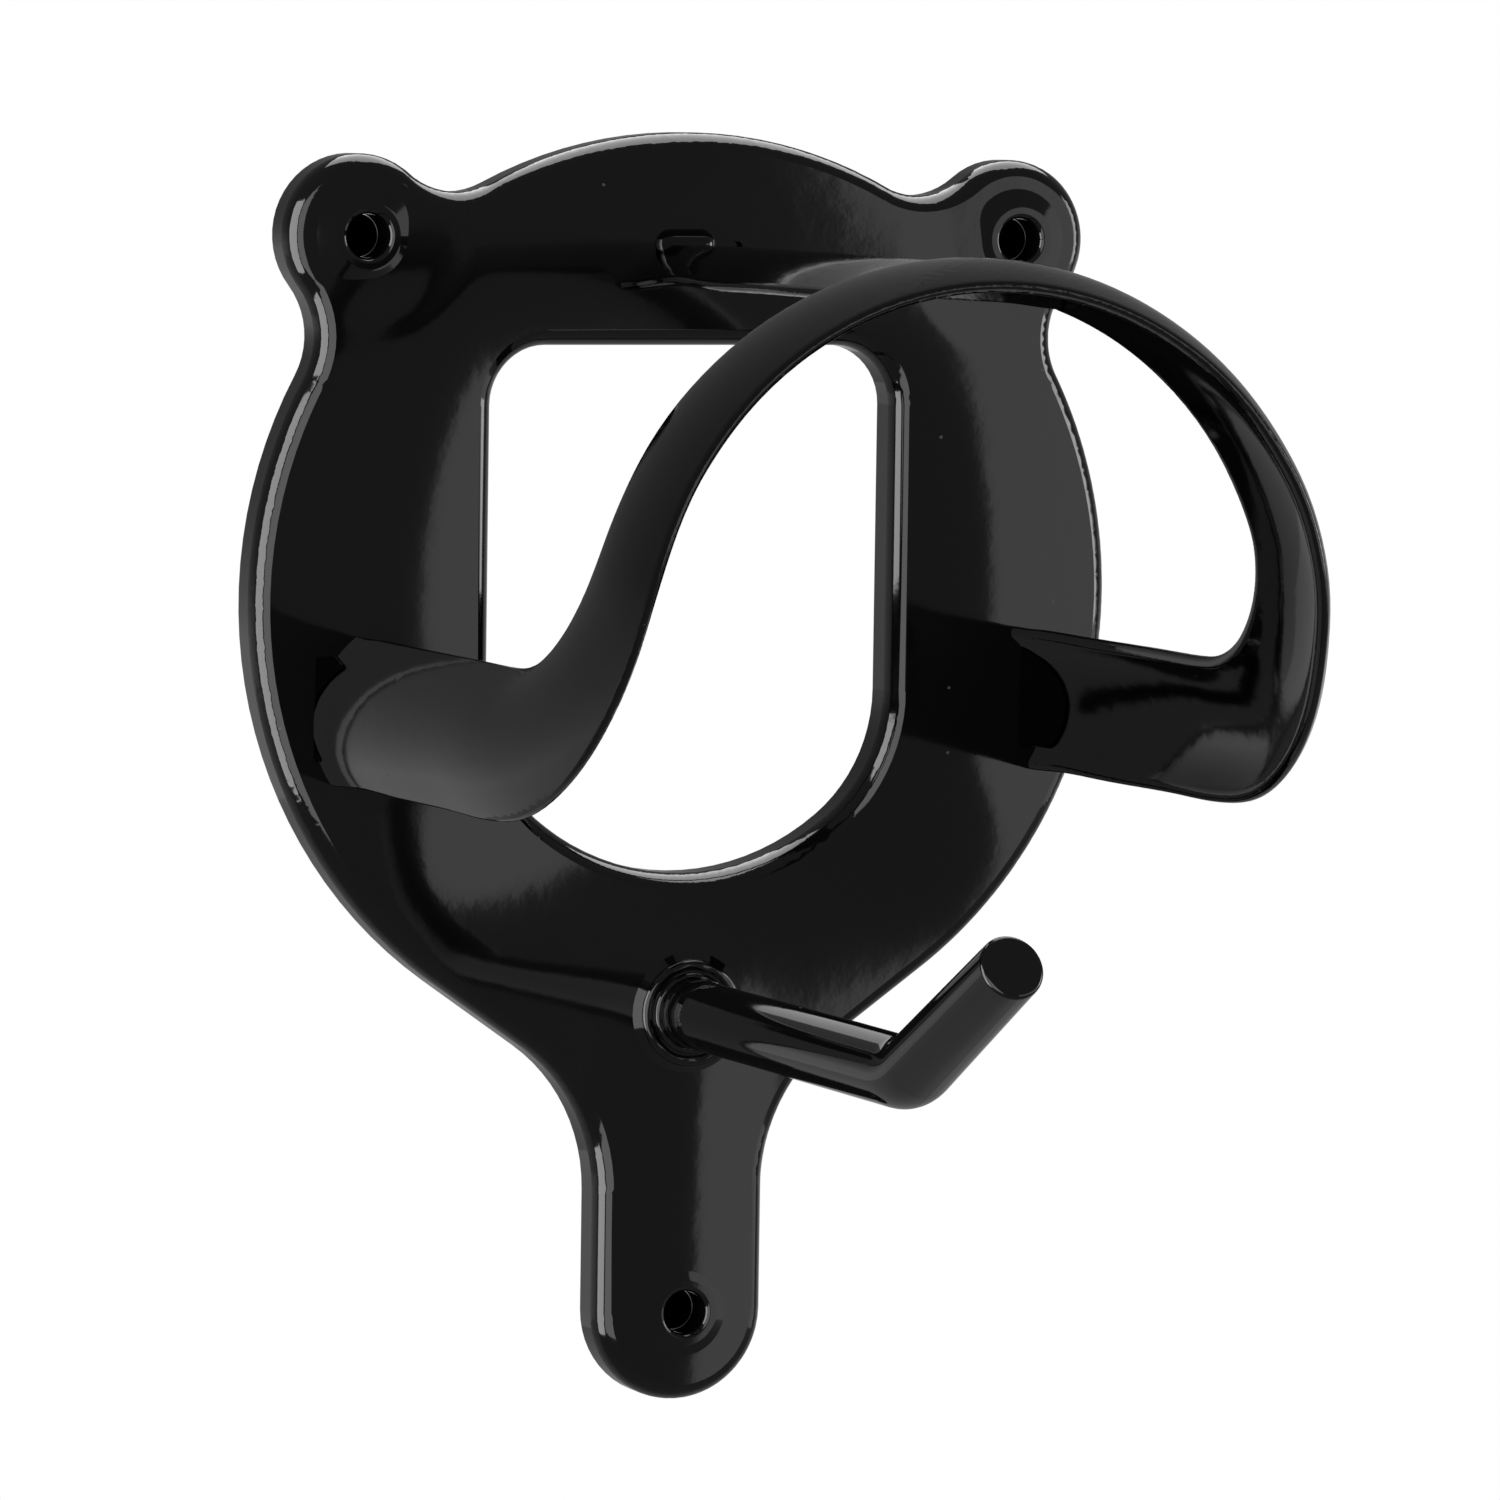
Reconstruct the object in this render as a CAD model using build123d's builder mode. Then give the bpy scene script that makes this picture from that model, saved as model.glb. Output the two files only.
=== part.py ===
"""Bridle hanger: a dished steel wall plate, an arched strap for the bridle and a hook for the reins.

The strap and the hook are fixed in the plate and the whole is dipped in a black coating, so every size
here is the coated size. The wall is the plane Y = 0, the front faces -Y and Z is up. The origin is at the
foot of the plate, in the middle of the rim that stands on the wall.
"""
import os
from math import asin, cos, pi, radians, sin, sqrt, tan

from build123d import *

os.makedirs("parts", exist_ok=True)

# Sheet steel, as coated
plate_wall = 2.0
strap_sheet = 2.0

# Arch that the strap is bent to, seen from the front, and how far its centre is below the plate's
arch_radius = 53.0
arch_centre_drop = 3.2
leg_flare = 9.4

# Outline of the plate: a round body around the arch, set a little low, with two ears and a tail
plate_margin = 16.5
body_drop = 0.9
ear_angle = 44.9
ear_stand = 5.3
ear_radius = 12.0
ear_blend = 12.0
tail_half = 13.7
tail_reach = 39.0
tail_taper = 35.0
tail_blend = 27.0

# Window of the plate, which is punched a little right of the middle
window_half = 32.6
window_shift = 0.6
window_top = 36.9
window_bottom = 42.4
window_bottom_radius = 38.0
window_top_corner = 9.0
window_side_corner = 24.0

# Dished section of the plate
plate_depth = 8.0
crown_run = 8.0
crown_drop = 1.6
crown_blend = 14.0
edge_roll = 3.0

# Screw holes, drawn back towards the wall, and the raised seats around them
screw_radius = 3.25
screw_lip = 1.0
screw_neck = 5.6
neck_wall = 1.5
seat_top_radius = 4.9
seat_radius = 8.2
seat_height = 0.7
seat_sink = 1.0
seat_blend = 1.5

# Strap: an outward-bowed strip with a loop, two wider wings and a tongue
loop_width = 18.3
loop_bow = 2.8
loop_reach = 103.4
wing_width = 21.4
wing_bow = 6.0
wing_corner = 32.8
wing_drop = 16.4
root_bow = 3.9
tongue_half = 10.0
tongue_bow = 4.4
tongue_step = 0.6
tongue_flare = 9.0
tongue_flare_length = 18.0

# Tabs of the strap, the slots they enter, the weld bead on the tongue and the welds behind the plate
wing_tab = 14.6
tongue_tab = 13.0
tab_depth = 5.0
slot_clearance = 0.5
slot_corner = 0.8
weld_radius = 2.3
weld_length = 9.4
weld_offset = 2.3
rear_weld = 2.2
rear_lap = 1.6
rear_fill = 1.0

# Rein hook and the collar it passes through
rod_radius = 5.25
tip_radius = 4.75
hook_inset = 6.5
hook_reach = 87.0
hook_arm = 37.8
hook_angle = 30.0
hook_bend = 13.0
hook_edge = 0.7
hook_stub = 3.0
rod_clearance = 0.2
collar_top_radius = 6.9
collar_radius = 10.6
collar_height = 1.5
collar_lip = 0.7
collar_blend = 1.2

# Places that follow from those sizes
body_radius = arch_radius + plate_margin
ear_x = (body_radius + ear_stand) * sin(radians(ear_angle))
ear_rise = (body_radius + ear_stand) * cos(radians(ear_angle))
tail_drop = body_radius + tail_reach
centre_z = tail_drop + tail_half - plate_wall / 2
taper = radians(tail_taper)
taper_x = body_radius * sin(taper)
taper_z = -body_drop - body_radius * cos(taper)
neck_z = taper_z - (taper_x - tail_half) * tan(taper)
window_side_z = window_bottom_radius - window_bottom - sqrt(window_bottom_radius**2 - window_half**2)
hook_z = centre_z - body_radius + hook_inset

flare = radians(leg_flare)
arc_length = arch_radius * (pi / 2 - flare)
arch_centre_z = centre_z - arch_centre_drop
wing_along = arc_length + (wing_drop - arch_centre_drop + arch_radius * sin(flare)) / cos(flare)
corner_along = wing_along - wing_corner
corner_reach = loop_reach - wing_corner
loop_back = loop_reach - loop_width / 2
loop_ridge_z = arch_centre_z + arch_radius + loop_bow
tongue_ridge_z = loop_ridge_z - tongue_step
wing_x = arch_radius * cos(flare) + (wing_along - arc_length) * sin(flare)
slot_inside = wing_x - wing_tab / 2 * sin(flare) - slot_clearance
slot_outside = wing_x + root_bow + slot_clearance
tab_end = plate_depth - tab_depth
shoulder = plate_depth - plate_wall / 2

wall_plane = Plane(origin=(0, 0, centre_z), x_dir=(1, 0, 0), z_dir=(0, -1, 0))
face_plane = wall_plane.offset(plate_depth)


def on_arch(reach, along):
    """Point of the arch at a reach from the wall and a length from the crown, and the outward direction."""
    side = 1 if along >= 0 else -1
    turn = min(abs(along), arc_length) / arch_radius
    leg = max(abs(along) - arc_length, 0)
    x = arch_radius * sin(turn) + leg * sin(flare)
    z = arch_centre_z + arch_radius * cos(turn) - leg * cos(flare)
    return Vector(side * x, -reach, z), Vector(side * sin(turn), 0, cos(turn))


def bow_circle(half, bow):
    """Outer radius of a strip with this half width and bow, and the angle from its middle to its edge."""
    radius = (half**2 + bow**2) / (2 * bow)
    return radius, asin(half / radius)


def bowed_section(half, bow):
    """Bowed strip with rounded edges; the edges of its outer face are at Y = 0 and it bows towards +Y."""
    outer, lean = bow_circle(half, bow)
    inner = outer - strap_sheet
    middle = outer - strap_sheet / 2
    tip = lean + strap_sheet / 2 / middle

    def spot(radius, angle):
        return (radius * sin(angle), radius * cos(angle) - outer + bow)

    with BuildLine() as section:
        ThreePointArc(spot(outer, -lean), spot(outer, 0), spot(outer, lean))
        ThreePointArc(spot(outer, lean), spot(middle, tip), spot(inner, lean))
        ThreePointArc(spot(inner, lean), spot(inner, 0), spot(inner, -lean))
        ThreePointArc(spot(inner, -lean), spot(middle, -tip), spot(outer, -lean))
    return section.edges()


def hollow_section(half, bow):
    """Space under a bowed strip, from the middle of its sheet down to the strip's width below its edges."""
    outer, lean = bow_circle(half, bow)
    middle = outer - strap_sheet / 2
    side = middle * sin(lean)
    edge = middle * cos(lean) - outer + bow
    with BuildLine() as section:
        ThreePointArc((-side, edge), (0, bow - strap_sheet / 2), (side, edge))
        Polyline((side, edge), (side, -loop_width), (-side, -loop_width), (-side, edge))
    return section.edges()


def strap_stations(loop_steps=6, corner_steps=7, wing_steps=5):
    """Sections from the left tab to the right: reach, length along the arch, turn, width and bow."""
    loop_step = corner_along / loop_steps
    half = [(loop_reach, loop_step * step, 0, loop_width, loop_bow) for step in range(loop_steps)]
    for step in range(corner_steps):
        turn = pi / 2 * step / corner_steps
        ease = (1 - cos(2 * turn)) / 2
        width = loop_width + (wing_width - loop_width) * ease
        bow = loop_bow + (wing_bow - loop_bow) * ease
        reach = corner_reach + wing_corner * cos(turn)
        along = corner_along + wing_corner * sin(turn)
        half.append((reach, along, turn, width, bow))
    for step in range(wing_steps + 1):
        share = step / wing_steps
        bow = wing_bow + (root_bow - wing_bow) * share
        half.append((corner_reach + (tab_end - corner_reach) * share, wing_along, pi / 2, wing_width, bow))
    return [(reach, -along, *rest) for reach, along, *rest in reversed(half[1:])] + half


def strap_plane(reach, along, turn, width):
    """Plane across the strap at a station, with its X across the strip, and half the strip's width there."""
    step_out = width / 2 * cos(turn)
    step_down = width / 2 * sin(turn) * (1 if along >= 0 else -1)
    near, _ = on_arch(reach - step_out, along - step_down)
    far, _ = on_arch(reach + step_out, along + step_down)
    _, outward = on_arch(reach, along)
    across = far - near
    return Plane(origin=(near + far) * 0.5, x_dir=across, z_dir=across.cross(outward)), across.length / 2


def tongue_station(reach):
    """Plane, half width and bow of the tongue, which widens to the loop and ends inside the loop's sheet."""
    widen = min(max((reach - loop_back - strap_sheet) / tongue_flare_length + 1, 0), 1) ** 2
    half = tongue_half + tongue_flare * widen
    loop_outer, _ = bow_circle(loop_width / 2, loop_bow)
    loop_rise = sqrt(loop_outer**2 - (loop_reach - max(reach, loop_back)) ** 2) - loop_outer + loop_bow
    loop_z = arch_centre_z + sqrt((arch_radius + loop_rise - strap_sheet / 4) ** 2 - half**2)
    edge_z = (tongue_ridge_z - tongue_bow) * (1 - widen) + loop_z * widen
    plane = Plane(origin=(0, -reach, edge_z), x_dir=(1, 0, 0), z_dir=(0, -1, 0))
    return plane, half, tongue_ridge_z - edge_z


# Back plate: one pressed sheet, crowned at the front, its outer and window edges turned back to the wall
with BuildPart() as back_plate:
    with BuildSketch(wall_plane) as outline:
        with Locations((0, -body_drop)):
            Circle(body_radius)
        with Locations((-ear_x, ear_rise), (ear_x, ear_rise)):
            Circle(ear_radius)
        with Locations((0, -tail_drop)):
            Circle(tail_half)
        with BuildLine():
            Polyline(
                (-taper_x, taper_z),
                (-tail_half, neck_z),
                (-tail_half, -tail_drop),
                (tail_half, -tail_drop),
                (tail_half, neck_z),
                (taper_x, taper_z),
                close=True,
            )
        make_face()
        ear_roots = outline.vertices().filter_by(lambda v: v.Y > 0 and abs(v.X) > ear_x - 2 * ear_radius)
        fillet(ear_roots, ear_blend)
        fillet(outline.vertices().filter_by(lambda v: abs(v.Y - neck_z) < 0.01), tail_blend)
    extrude(amount=plate_depth)
    with BuildSketch(wall_plane) as window:
        with BuildLine():
            left_low = (window_shift - window_half, window_side_z)
            left_top = (window_shift - window_half, window_top)
            right_top = (window_shift + window_half, window_top)
            right_low = (window_shift + window_half, window_side_z)
            Polyline(left_low, left_top, right_top, right_low)
            ThreePointArc(right_low, (window_shift, -window_bottom), left_low)
        make_face()
        fillet(window.vertices().group_by(Axis.Y)[-1], window_top_corner)
        fillet(window.vertices().filter_by(lambda v: abs(v.Y - window_side_z) < 0.01), window_side_corner)
    extrude(amount=plate_depth, mode=Mode.SUBTRACT)

    front = back_plate.faces().sort_by(Axis.Y)[0]
    chamfer(front.edges(), length=crown_run, length2=crown_drop, reference=front)
    rim_y = crown_drop - plate_depth
    level = back_plate.edges().filter_by(lambda e: e.bounding_box().size.Y < 0.01)
    fillet(level.filter_by(lambda e: abs(e.bounding_box().min.Y - rim_y) < 0.01), edge_roll)
    fillet(back_plate.faces().sort_by(Axis.Y)[0].edges(), crown_blend)
    offset(amount=-plate_wall, openings=back_plate.faces().sort_by(Axis.Y)[-1])

    for place_x, place_z in [(-ear_x, ear_rise), (ear_x, ear_rise), (0, -tail_drop)]:
        seat_y = -plate_depth - seat_height
        with Locations((place_x, seat_y, centre_z + place_z)):
            Cone(
                seat_radius,
                seat_top_radius,
                seat_height + seat_sink,
                rotation=(90, 0, 0),
                align=(Align.CENTER, Align.CENTER, Align.MAX),
            )
            Cylinder(
                screw_radius + neck_wall,
                screw_neck,
                rotation=(90, 0, 0),
                align=(Align.CENTER, Align.CENTER, Align.MAX),
            )
            Cylinder(screw_radius, 4 * plate_depth, rotation=(90, 0, 0), mode=Mode.SUBTRACT)
    with Locations((0, -plate_depth - collar_height, hook_z)):
        Cone(
            collar_radius,
            collar_top_radius,
            collar_height + seat_sink,
            rotation=(90, 0, 0),
            align=(Align.CENTER, Align.CENTER, Align.MAX),
        )
        Cylinder(rod_radius + rod_clearance, 4 * plate_depth, rotation=(90, 0, 0), mode=Mode.SUBTRACT)
    with BuildSketch(wall_plane):
        slot_x = (slot_inside + slot_outside) / 2
        with Locations((-slot_x, -wing_drop), (slot_x, -wing_drop)):
            RectangleRounded(slot_outside - slot_inside, wing_tab + 2 * slot_clearance, slot_corner)
        tongue_z = tongue_ridge_z - centre_z - tongue_bow / 2
        with Locations((0, tongue_z)):
            RectangleRounded(tongue_tab + 2 * slot_clearance, tongue_bow + 2 * slot_clearance, slot_corner)
    extrude(amount=plate_depth, mode=Mode.SUBTRACT)
    for ring_radius, ring_height, ring_blend in [
        (screw_radius, seat_height, screw_lip),
        (seat_top_radius, seat_height, seat_blend),
        (rod_radius + rod_clearance, collar_height, collar_lip),
        (collar_top_radius, collar_height, collar_blend),
    ]:
        ring_y = -plate_depth - ring_height
        rings = back_plate.edges().filter_by(GeomType.CIRCLE)
        rings = rings.filter_by(lambda e: abs(e.arc_center.Y - ring_y) < 0.01)
        fillet(rings.filter_by(lambda e: abs(e.radius - ring_radius) < 0.01), ring_blend)
back_plate.part.label = "back_plate"
export_step(back_plate.part, "parts/back_plate.step")

# Bridle arch: one strap bent to a loop with two wings, its tongue joined to the crown of the loop, with the
# welds that hold its tabs from behind and fill the slots
with BuildPart() as bridle_arch:
    for reach, along, turn, width, bow in strap_stations():
        plane, half = strap_plane(reach, along, turn, width)
        with BuildSketch(plane):
            make_face(bowed_section(half, bow))
    loft()
    flare_end = loop_back + strap_sheet
    flare_start = flare_end - tongue_flare_length
    flared = [loop_reach - loop_width / 5] + [flare_end - tongue_flare_length * step / 3 for step in range(4)]
    straight = [flare_start + (tab_end - flare_start) * step / 5 for step in range(1, 6)]
    for reach in flared:
        plane, half, bow = tongue_station(reach)
        with BuildSketch(plane):
            make_face(hollow_section(half, bow))
    loft(mode=Mode.SUBTRACT)
    for reach in flared + straight:
        plane, half, bow = tongue_station(reach)
        with BuildSketch(plane):
            make_face(bowed_section(half, bow))
    loft()
    with BuildSketch(wall_plane):
        Rectangle(4 * arch_radius, 4 * arch_radius)
        with Locations((-slot_x, -wing_drop), (slot_x, -wing_drop)):
            Rectangle(wing_width, wing_tab, mode=Mode.SUBTRACT)
        with Locations((0, tongue_z)):
            Rectangle(tongue_tab, wing_width, mode=Mode.SUBTRACT)
    extrude(amount=shoulder, mode=Mode.SUBTRACT)
    with Locations((-weld_offset, -plate_depth, tongue_ridge_z)):
        Cylinder(weld_radius, weld_length - 2 * weld_radius, rotation=(0, 90, 0))
        with Locations((weld_length / 2 - weld_radius, 0, 0), (weld_radius - weld_length / 2, 0, 0)):
            Sphere(weld_radius)
    with BuildSketch(wall_plane.offset(plate_depth - plate_wall - rear_weld)):
        lap = slot_clearance + rear_lap
        with Locations((-slot_x, -wing_drop), (slot_x, -wing_drop)):
            RectangleRounded(slot_outside - slot_inside + 2 * rear_lap, wing_tab + 2 * lap, rear_lap)
        with Locations((0, tongue_z)):
            RectangleRounded(tongue_tab + 2 * lap, tongue_bow + 2 * lap, rear_lap)
    extrude(amount=rear_weld + rear_fill)
    add(back_plate.part, mode=Mode.SUBTRACT)
bridle_arch.part.label = "bridle_arch"
export_step(bridle_arch.part, "parts/bridle_arch.step")

# Rein hook: one round rod through the collar, turned up at its end and welded behind the plate
with BuildPart() as rein_hook:
    bend_run = hook_bend * tan(radians(hook_angle) / 2)
    with BuildLine(Plane.YZ):
        shank = Line((plate_wall + hook_stub - plate_depth, hook_z), (bend_run - hook_reach, hook_z))
        bend = JernArc(shank @ 1, shank % 1, hook_bend, -hook_angle)
    with BuildSketch(Plane(origin=shank @ 0, z_dir=shank % 0)):
        Circle(rod_radius)
    sweep()
    arm_start = Plane(origin=bend @ 1, z_dir=bend % 1)
    with BuildSketch(arm_start):
        Circle(rod_radius)
    with BuildSketch(arm_start.offset(hook_arm - bend_run)):
        Circle(tip_radius)
    loft()
    fillet(rein_hook.edges().sort_by(Axis.Y)[0], hook_edge)
    with Locations((0, plate_wall - plate_depth, hook_z)):
        Cone(
            rod_radius + rear_lap,
            rod_radius + rod_clearance,
            rear_weld,
            rotation=(-90, 0, 0),
            align=(Align.CENTER, Align.CENTER, Align.MIN),
        )
        Cylinder(
            rod_radius + rod_clearance,
            rear_fill,
            rotation=(90, 0, 0),
            align=(Align.CENTER, Align.CENTER, Align.MIN),
        )
rein_hook.part.label = "rein_hook"
export_step(rein_hook.part, "parts/rein_hook.step")
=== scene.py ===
from math import cos, pi, radians, sin

import bpy
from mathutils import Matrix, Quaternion, Vector


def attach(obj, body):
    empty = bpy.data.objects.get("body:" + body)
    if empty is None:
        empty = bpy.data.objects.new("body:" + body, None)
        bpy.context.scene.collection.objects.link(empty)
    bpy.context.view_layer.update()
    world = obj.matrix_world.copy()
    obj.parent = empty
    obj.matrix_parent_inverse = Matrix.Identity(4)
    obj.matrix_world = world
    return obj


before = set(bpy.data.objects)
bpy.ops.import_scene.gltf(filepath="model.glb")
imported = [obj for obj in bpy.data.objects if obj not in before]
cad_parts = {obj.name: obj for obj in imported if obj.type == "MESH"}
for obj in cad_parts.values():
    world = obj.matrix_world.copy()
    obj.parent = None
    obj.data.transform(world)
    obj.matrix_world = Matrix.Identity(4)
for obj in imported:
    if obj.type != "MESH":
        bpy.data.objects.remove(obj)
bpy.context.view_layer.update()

# Back plate
# One pressed sheet of steel, gently crowned at the front and turned back to the wall at its edges.
# It is dipped in a thick black coating that eases its seats and levels to a gloss with a faint peel.


class Finish:
    """A socket of a material. Arithmetic on it adds Math nodes, and make adds any other node."""

    def __init__(self, tree, socket=None):
        self.tree = tree
        self.socket = socket

    def make(self, kind, output, settings, sockets):
        """Add a node, set its settings, then its sockets, and give back the named output."""
        node = self.tree.nodes.new(kind)
        for name, value in settings.items():
            setattr(node, name, value)
        for name, value in sockets.items():
            if isinstance(value, Finish):
                self.tree.links.new(value.socket, node.inputs[name])
            else:
                node.inputs[name].default_value = value
        return Finish(self.tree, None if output is None else node.outputs[output])

    def math(self, operation, first, second):
        """Add one Math node on two values, the second of which is 0 where the operation takes only one."""
        return self.make("ShaderNodeMath", 0, {"operation": operation}, {0: first, 1: second})

    def __add__(self, other):
        return self.math("ADD", self, other)

    def __radd__(self, other):
        return self.math("ADD", other, self)

    def __sub__(self, other):
        return self.math("SUBTRACT", self, other)

    def __rsub__(self, other):
        return self.math("SUBTRACT", other, self)

    def __mul__(self, other):
        return self.math("MULTIPLY", self, other)

    def __rmul__(self, other):
        return self.math("MULTIPLY", other, self)

    def __gt__(self, other):
        return self.math("GREATER_THAN", self, other)

    def __lt__(self, other):
        return self.math("LESS_THAN", self, other)


def black_coating(gloss, base, swell):
    """Dipped black coating on a base normal: slow changes of gloss, a fine peel, a few specks and a swell."""
    coat_black = (0.0016, 0.0016, 0.0017, 1)
    dust_grey = (0.045, 0.044, 0.042, 1)
    dust_scale, dust_radius, dust_rarity = 520.0, 0.13, 0.985
    cloud_dulling, dust_dulling = 0.05, 0.3
    fine_height, wave_height, dust_height = 0.000004, 0.000012, 0.00001
    paint = Finish(base.tree)
    place = paint.make("ShaderNodeTexCoord", "Object", {}, {})
    slow = paint.make("ShaderNodeTexNoise", 0, {}, {"Vector": place, "Scale": 34.0, "Detail": 2.0})
    fine = paint.make("ShaderNodeTexNoise", 0, {}, {"Vector": place, "Scale": 620.0, "Detail": 2.0})
    wave = paint.make("ShaderNodeTexNoise", 0, {}, {"Vector": place, "Scale": 150.0, "Detail": 1.0})
    cell = paint.make("ShaderNodeTexVoronoi", "Distance", {}, {"Vector": place, "Scale": dust_scale})
    pick = paint.make("ShaderNodeTexVoronoi", "Color", {}, {"Vector": place, "Scale": dust_scale})
    chance = paint.make("ShaderNodeSeparateColor", 0, {}, {"Color": pick})
    speck = (cell < dust_radius) * (chance > dust_rarity)
    shade = paint.make(
        "ShaderNodeMix",
        2,
        {"data_type": "RGBA"},
        {0: speck, 6: coat_black, 7: dust_grey},
    )
    roughness = gloss + cloud_dulling * slow + dust_dulling * speck
    peel = fine_height * fine + wave_height * wave + dust_height * speck
    bump = paint.make(
        "ShaderNodeBump",
        0,
        {},
        {"Strength": 1.0, "Distance": 1.0, "Height": peel + swell, "Normal": base},
    )
    coat = paint.make(
        "ShaderNodeBsdfPrincipled",
        0,
        {},
        {"Base Color": shade, "Roughness": roughness, "Normal": bump, "IOR": 1.5},
    )
    paint.make("ShaderNodeOutputMaterial", None, {}, {"Surface": coat})


def empty_material(name):
    """New material without nodes, and a Finish to fill it with."""
    material = bpy.data.materials.new(name)
    material.use_nodes = True
    material.node_tree.nodes.clear()
    return material, Finish(material.node_tree)


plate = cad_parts["back_plate"]
plate_middle = 0.1212
body_middle = plate_middle - 0.0009
body_radius = 0.0695
window_middle = 0.0006
window_half = 0.0326
window_top = 0.0369
window_bottom = 0.0424
window_rounding = 0.02
ear_across = 0.0528
ear_rise = 0.053
ear_edge, ear_inside = 0.02, 0.01
ear_crown = 0.00014
tail_rise = -0.1085
tail_top, tail_full = -0.046, -0.084
tail_flat, tail_rounding = 0.00016, 0.00012
seat_edge, seat_inside = 0.0105, 0.0095
lip_inside, lip_edge = 0.004, 0.0046
seat_easing = 0.6
level_start, level_full = 0.955, 0.975
ridge_start, ridge_full, ridge_out = -0.018, -0.045, 0.0095
crown_bend = 2.4
plate_gloss = 0.04
plate_coat, press = empty_material("black_dip_plate")
outward = press.make("ShaderNodeNewGeometry", "Normal", {}, {})
spot = press.make("ShaderNodeTexCoord", "Object", {}, {})
across = press.make("ShaderNodeSeparateXYZ", "X", {}, {"Vector": spot})
rise = press.make("ShaderNodeSeparateXYZ", "Z", {}, {"Vector": spot}) - plate_middle
front = -1 * press.make("ShaderNodeSeparateXYZ", "Y", {}, {"Vector": outward})
level_share = press.make(
    "ShaderNodeMapRange",
    0,
    {},
    {"Value": front, "From Min": level_start, "From Max": level_full},
)
ear_out = press.math("ABSOLUTE", across, 0) - ear_across
ear_up = rise - ear_rise
tail_up = rise - tail_rise
from_ear = press.math("SQRT", ear_out * ear_out + ear_up * ear_up, 0)
from_hole = press.math("MINIMUM", from_ear, press.math("SQRT", across * across + tail_up * tail_up, 0))
in_seat = press.make(
    "ShaderNodeMapRange",
    0,
    {},
    {"Value": from_hole, "From Min": seat_edge, "From Max": seat_inside},
)
off_lip = press.make(
    "ShaderNodeMapRange",
    0,
    {},
    {"Value": from_hole, "From Min": lip_inside, "From Max": lip_edge},
)
eased_share = press.math("MAXIMUM", level_share, seat_easing * in_seat * off_lip)
levelled = press.make(
    "ShaderNodeMix",
    1,
    {"data_type": "VECTOR"},
    {0: eased_share, 4: outward, 5: (0, -1, 0)},
)
beside = press.math("ABSOLUTE", across - window_middle, 0) - window_half
over = press.make(
    "ShaderNodeMath",
    0,
    {"operation": "SMOOTH_MAX"},
    {0: beside, 1: rise - window_top, 2: window_rounding},
)
from_window = press.make(
    "ShaderNodeMath",
    0,
    {"operation": "SMOOTH_MAX"},
    {0: over, 1: -1 * rise - window_bottom, 2: window_rounding},
)
drop = rise + (plate_middle - body_middle)
from_rim = body_radius - press.math("SQRT", across * across + drop * drop, 0)
ridge_shift = press.make(
    "ShaderNodeMapRange",
    0,
    {"interpolation_type": "SMOOTHERSTEP"},
    {"Value": rise, "From Min": ridge_start, "From Max": ridge_full, "To Max": ridge_out},
)
from_ridge = 0.5 * (from_window - from_rim) - ridge_shift
tail_share = press.make(
    "ShaderNodeMapRange",
    0,
    {"interpolation_type": "SMOOTHERSTEP"},
    {"Value": rise, "From Min": tail_top, "From Max": tail_full},
)
ring_crown = from_ridge * from_ridge
tail_crown = press.make(
    "ShaderNodeMath",
    0,
    {"operation": "SMOOTH_MIN"},
    {0: across * across, 1: tail_flat, 2: tail_rounding},
)
body_crown = ring_crown + tail_share * (tail_crown - ring_crown)
ear_share = press.make(
    "ShaderNodeMapRange",
    0,
    {"interpolation_type": "SMOOTHERSTEP"},
    {"Value": from_ear, "From Min": ear_edge, "From Max": ear_inside},
)
ear_roll = press.math("MAXIMUM", ear_out, 0)
crown = body_crown + ear_share * (2 * ear_roll * ear_roll + ear_crown - body_crown)
black_coating(plate_gloss, levelled, -crown_bend * crown)
plate.material_slots[0].material = plate_coat

# Bridle arch
# One bowed steel strap: a loop in front, two wings that turn back to the plate and a tongue from the crown.
# Its tabs are welded in the plate's slots, and the thick black coating levels most of the strap's bow.
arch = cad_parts["bridle_arch"]
arch_middle = plate_middle - 0.0032
leg_tilt = sin(radians(9.4))
bow_left = 0.4
edge_start, face_full = 0.4, 0.6
strap_gloss = 0.05
strap_coat, strap = empty_material("black_dip_strap")
turned = strap.make("ShaderNodeNewGeometry", "Normal", {}, {})
strap_spot = strap.make("ShaderNodeTexCoord", "Object", {}, {})
aside = strap.make("ShaderNodeSeparateXYZ", "X", {}, {"Vector": strap_spot})
above = strap.make("ShaderNodeSeparateXYZ", "Z", {}, {"Vector": strap_spot}) - arch_middle
spoke = strap.math("SQRT", aside * aside + above * above, 0)
upward = strap.math("MAXIMUM", strap.math("DIVIDE", above, spoke), leg_tilt)
sideways = strap.math("SIGN", aside, 0) * strap.math("SQRT", 1 - upward * upward, 0)
radial = strap.make("ShaderNodeCombineXYZ", 0, {}, {"X": sideways, "Z": upward})
facing = strap.make("ShaderNodeVectorMath", "Value", {"operation": "DOT_PRODUCT"}, {0: turned, 1: radial})
same_side = strap.math("SIGN", facing, 0)
flat = strap.make("ShaderNodeVectorMath", 0, {"operation": "SCALE"}, {0: radial, "Scale": same_side})
faced = strap.math("ABSOLUTE", facing, 0)
flat_share = strap.make(
    "ShaderNodeMapRange",
    0,
    {},
    {"Value": faced, "From Min": edge_start, "From Max": face_full, "To Max": 1 - bow_left},
)
eased = strap.make("ShaderNodeMix", 1, {"data_type": "VECTOR"}, {0: flat_share, 4: turned, 5: flat})
levelled_strap = strap.make("ShaderNodeVectorMath", 0, {"operation": "NORMALIZE"}, {0: eased})
black_coating(strap_gloss, levelled_strap, 0)
arch.material_slots[0].material = strap_coat

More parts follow.
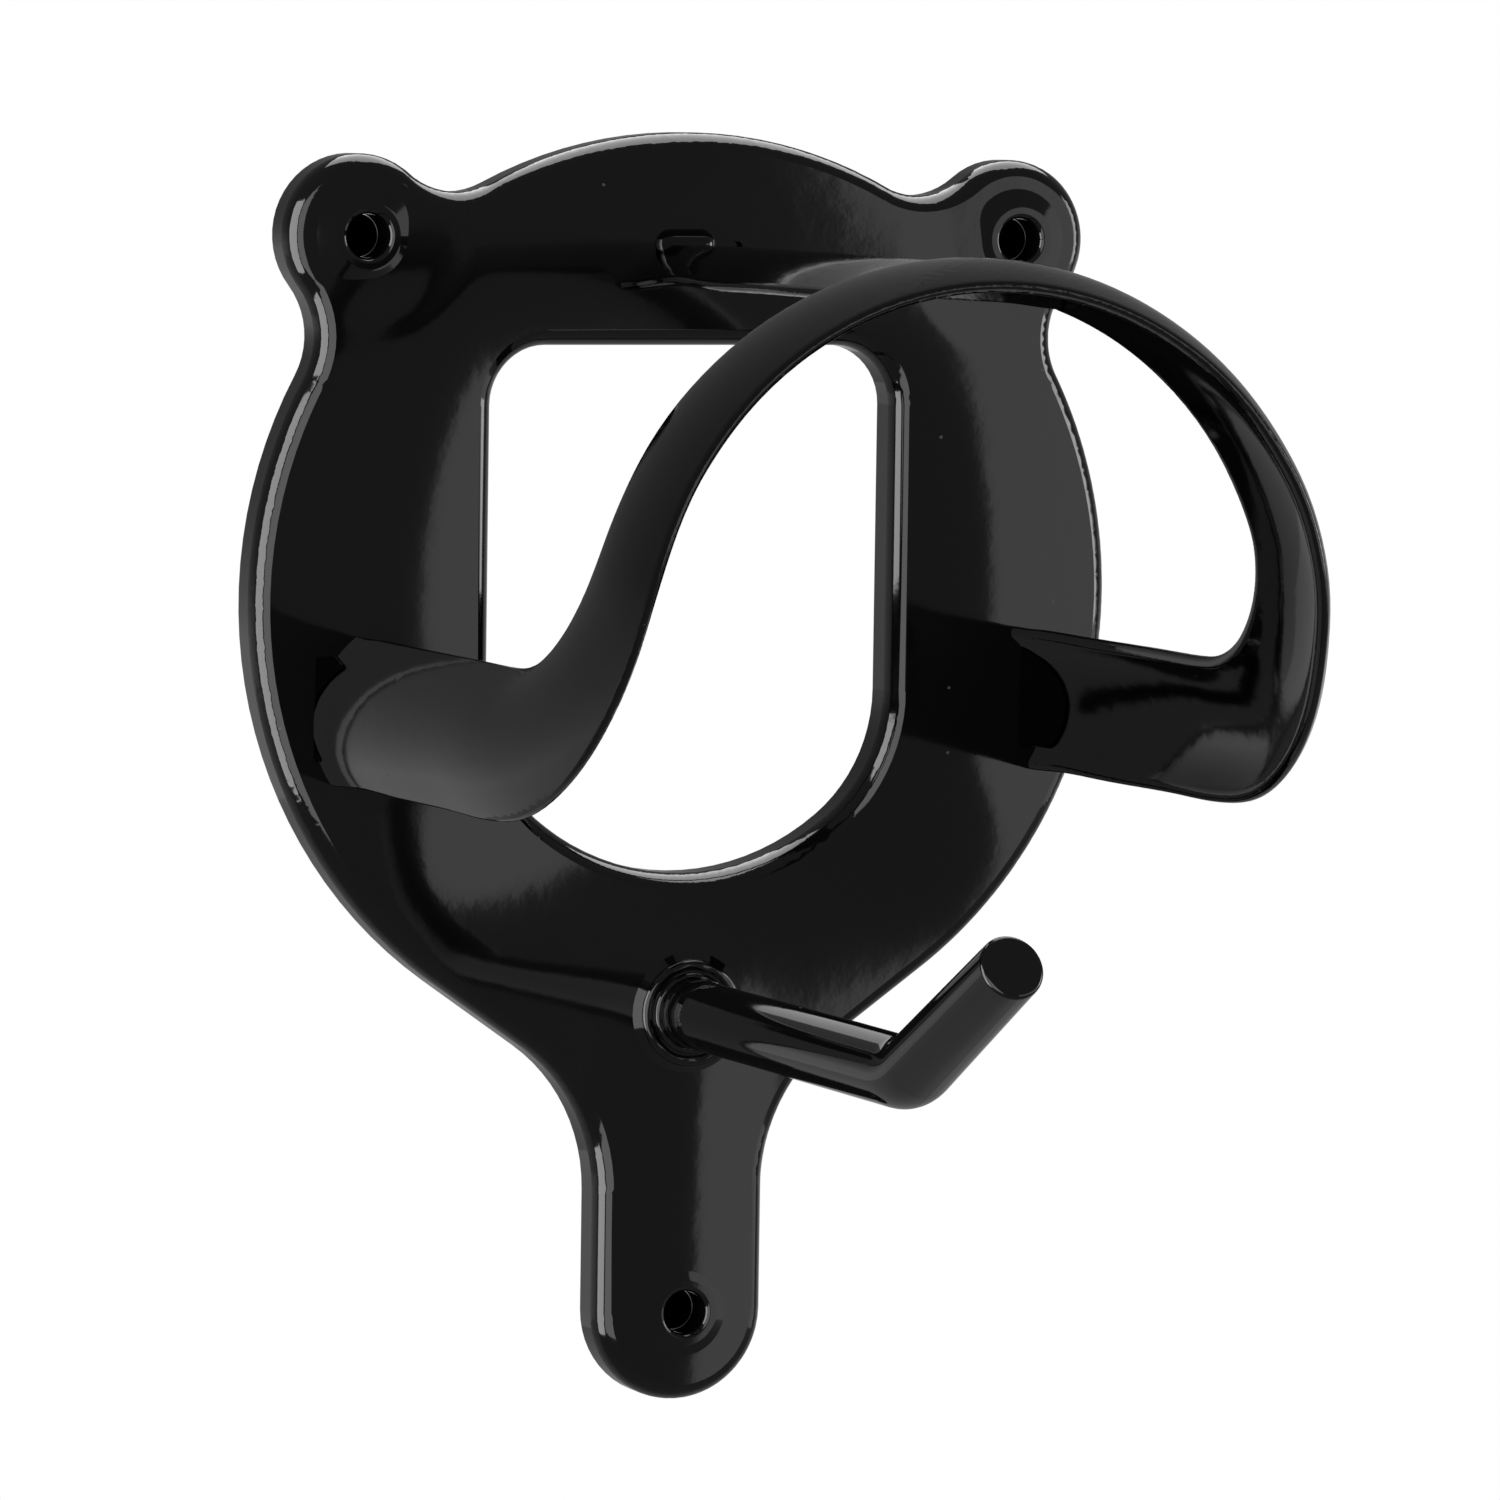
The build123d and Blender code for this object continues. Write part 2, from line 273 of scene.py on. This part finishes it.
# Rein hook
# A round steel rod through the collar low on the plate, turned up at its end and cut off flat.
# It is welded from behind and coated with the rest.
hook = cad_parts["rein_hook"]
rod_gloss = 0.04
hook_coat, rod = empty_material("black_dip_hook")
black_coating(rod_gloss, rod.make("ShaderNodeNewGeometry", "Normal", {}, {}), 0)
hook.material_slots[0].material = hook_coat

# Coating beads
# Two uneven rings of the thick coating, which gathered round the rod and on the lip of the plate's collar.
# Each starts as a ring, is pressed flatter against the collar and goes with the plate.
rod_middle = 0.0582
bead_flatness = 0.8
bead_stray = 0.0004
bead_rings = [("rod_bead", 0.0055, 0.0007, -0.0095), ("collar_bead", 0.0072, 0.00095, -0.0091)]
beads = []
for bead_name, ring_radius, bead_radius, bead_depth in bead_rings:
    bpy.ops.object.select_all(action="DESELECT")
    bpy.ops.mesh.primitive_torus_add(
        major_radius=ring_radius,
        minor_radius=bead_radius,
        major_segments=96,
        minor_segments=20,
        location=(0, bead_depth, rod_middle),
        rotation=(radians(90), 0, 0),
    )
    bead = bpy.context.active_object
    bead.name = bead_name
    bpy.ops.object.transform_apply(location=True, rotation=True, scale=True)
    bpy.ops.object.mode_set(mode="EDIT")
    bpy.ops.mesh.select_all(action="SELECT")
    bpy.ops.transform.resize(value=(1, bead_flatness, 1), center_override=(0, bead_depth, rod_middle))
    bpy.ops.transform.vertex_random(offset=bead_stray, seed=3)
    bpy.ops.mesh.vertices_smooth(factor=0.5, repeat=6)
    bpy.ops.object.mode_set(mode="OBJECT")
    bpy.ops.object.shade_smooth()
    bead.data.materials.append(hook_coat)
    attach(bead, "root")
    beads.append(bead)

# Hole cards
# Small dark studio cards in the screw holes' far ends, because the photograph shows the holes as black.
# They belong to the studio and are not part of the hanger.
# The cards are painted shade: they darken the holes as the shaded hollow behind the plate would.
hole_end = -0.0034
card_radius = 0.0032
ear_hole_height = 0.17418
tail_hole_height = 0.0127
holes = [(-ear_across, ear_hole_height), (ear_across, ear_hole_height), (0, tail_hole_height)]
# Flat near-black material for the painted shade in the holes.
painted_hole_shade, card = empty_material("painted_hole_shade")
dark = card.make("ShaderNodeBsdfDiffuse", 0, {}, {"Color": (0.002, 0.002, 0.002, 1)})
card.make("ShaderNodeOutputMaterial", None, {}, {"Surface": dark})
for number, (hole_x, hole_z) in enumerate(holes):
    bpy.ops.object.select_all(action="DESELECT")
    bpy.ops.mesh.primitive_circle_add(
        vertices=48,
        radius=card_radius,
        fill_type="NGON",
        location=(hole_x, hole_end, hole_z),
        rotation=(radians(90), 0, 0),
    )
    disc = bpy.context.active_object
    disc.name = f"hole_card_{number}"
    bpy.ops.object.transform_apply(location=True, rotation=True, scale=True)
    disc.data.materials.append(painted_hole_shade)

# Floor
# A plain pale studio floor well below the hanger, which hangs at the height of a wall fitting.
# The camera sees it near white, and it still takes the hanger's shadow.
floor_height = -0.9
floor_glow = 0.75
mirror_share = 0.25
bpy.ops.object.select_all(action="DESELECT")
bpy.ops.mesh.primitive_plane_add(size=6, location=(0, 0, floor_height))
floor = bpy.context.active_object
floor.name = "studio_floor"
bpy.ops.object.transform_apply(location=True, rotation=True, scale=True)
pale, ground = empty_material("pale_floor")
direct_view = ground.make("ShaderNodeLightPath", "Is Camera Ray", {}, {})
mirror_view = ground.make("ShaderNodeLightPath", "Is Glossy Ray", {}, {})
glass_view = ground.make("ShaderNodeLightPath", "Is Transmission Ray", {}, {})
floor_spot = ground.make("ShaderNodeTexCoord", "Object", {}, {})
floor_back = ground.make("ShaderNodeSeparateXYZ", "Y", {}, {"Vector": floor_spot})
behind = ground.make("ShaderNodeMapRange", 0, {}, {"Value": floor_back, "From Min": 0.0, "From Max": 0.4})
seen = direct_view + glass_view + mirror_share * mirror_view * behind
matte = ground.make(
    "ShaderNodeBsdfPrincipled",
    0,
    {},
    {"Base Color": (0.8, 0.8, 0.8, 1), "Roughness": 0.9},
)
white = ground.make("ShaderNodeEmission", 0, {}, {"Color": (1, 1, 1, 1), "Strength": floor_glow})
lift = ground.make("ShaderNodeAddShader", 0, {}, {0: matte, 1: white})
surface = ground.make("ShaderNodeMixShader", 0, {}, {0: seen, 1: matte, 2: lift})
ground.make("ShaderNodeOutputMaterial", None, {}, {"Surface": surface})
floor.data.materials.append(pale)

# Studio
# A white sweep behind the hanger, a dim room in front of it, and soft boxes at both sides, above and behind.
# Some boxes light only some pieces: the strap takes two of them, and the one behind is for the hook's rod.
world = bpy.data.worlds.new("studio")
bpy.context.scene.world = world
world.use_nodes = True
world.node_tree.nodes.clear()
air = Finish(world.node_tree)
direct = air.make("ShaderNodeLightPath", "Is Camera Ray", {}, {})
through = air.make("ShaderNodeLightPath", "Is Transmission Ray", {}, {})
mirrored = air.make("ShaderNodeLightPath", "Is Glossy Ray", {}, {})
toward = air.make("ShaderNodeTexCoord", "Generated", {}, {})
back = air.make("ShaderNodeSeparateXYZ", "Y", {}, {"Vector": toward})
height = air.make("ShaderNodeSeparateXYZ", "Z", {}, {"Vector": toward})
sweep = air.make("ShaderNodeMapRange", 0, {}, {"Value": back, "From Min": 0.05, "From Max": 0.35})
low = air.make("ShaderNodeMapRange", 0, {}, {"Value": height, "From Min": 0.3, "From Max": -0.12})
room = 0.17
sweep_level = 0.36
mirrored_sweep = sweep_level * mirrored * sweep * low * low * low
strength = room + mirrored_sweep + (1 - room) * (direct + through)
backdrop = air.make("ShaderNodeBackground", 0, {}, {"Color": (1, 1, 1, 1), "Strength": strength})
air.make("ShaderNodeOutputWorld", None, {}, {"Surface": backdrop})


def soft_box(name, azimuth, elevation, distance, width, tall, level, pieces):
    """Area lamp from an azimuth right of the front and an elevation, in degrees, for all or some pieces."""
    aim = Vector((0, -0.05, 0.12))
    turn, lift = radians(azimuth), radians(elevation)
    side = Vector((sin(turn) * cos(lift), -cos(turn) * cos(lift), sin(lift)))
    lamp = bpy.data.lights.new(name, "AREA")
    lamp.shape = "RECTANGLE"
    lamp.size = width
    lamp.size_y = tall
    lamp.energy = level * pi * width * tall
    holder = bpy.data.objects.new(name, lamp)
    bpy.context.collection.objects.link(holder)
    holder.location = aim + side * distance
    holder.rotation_euler = (-side).to_track_quat("-Z", "Y").to_euler()
    holder.visible_camera = False
    if pieces:
        group = bpy.data.collections.new(name + "_pieces")
        for piece in pieces:
            group.objects.link(piece)
        holder.light_linking.receiver_collection = group


all_but_strap = [plate, hook, *beads]
boxes = [
    ("left_box", {"azimuth": -76, "elevation": 0, "distance": 0.9}, (0.62, 1.1), 6.0, all_but_strap),
    ("right_panel", {"azimuth": 54, "elevation": -9, "distance": 4.0}, (4.4, 3.0), 1.0, []),
    ("right_strip", {"azimuth": 72, "elevation": 6, "distance": 1.0}, (0.3, 0.4), 4.5, []),
    ("overhead", {"azimuth": 140, "elevation": 63, "distance": 1.1}, (1.1, 1.1), 4.0, all_but_strap),
    ("front_left", {"azimuth": -30, "elevation": -4, "distance": 2.2}, (1.5, 2.6), 2.2, all_but_strap),
    ("back_right", {"azimuth": 164, "elevation": 22, "distance": 1.0}, (0.6, 0.68), 0.8, [hook]),
]
for box_name, box_place, (box_width, box_tall), box_level, lit_pieces in boxes:
    soft_box(box_name, width=box_width, tall=box_tall, level=box_level, pieces=lit_pieces, **box_place)

# Camera
# At the photograph's angle, far off with a long lens, for a square frame.
camera_place = (-0.47392, -1.10308, 0.19758)
camera_aim = (0.01017, -0.00635, 0.09732)
camera_roll = radians(0.8416)
lens = bpy.data.cameras.new("camera")
lens.lens = 192
lens.sensor_width = 36
camera = bpy.data.objects.new("camera", lens)
bpy.context.collection.objects.link(camera)
camera.location = camera_place
look = Vector(camera_aim) - camera.location
camera.rotation_euler = (look.to_track_quat("-Z", "Y") @ Quaternion((0, 0, 1), camera_roll)).to_euler()
lens.clip_end = 50
bpy.context.scene.camera = camera
bpy.context.scene.view_settings.view_transform = "Standard"
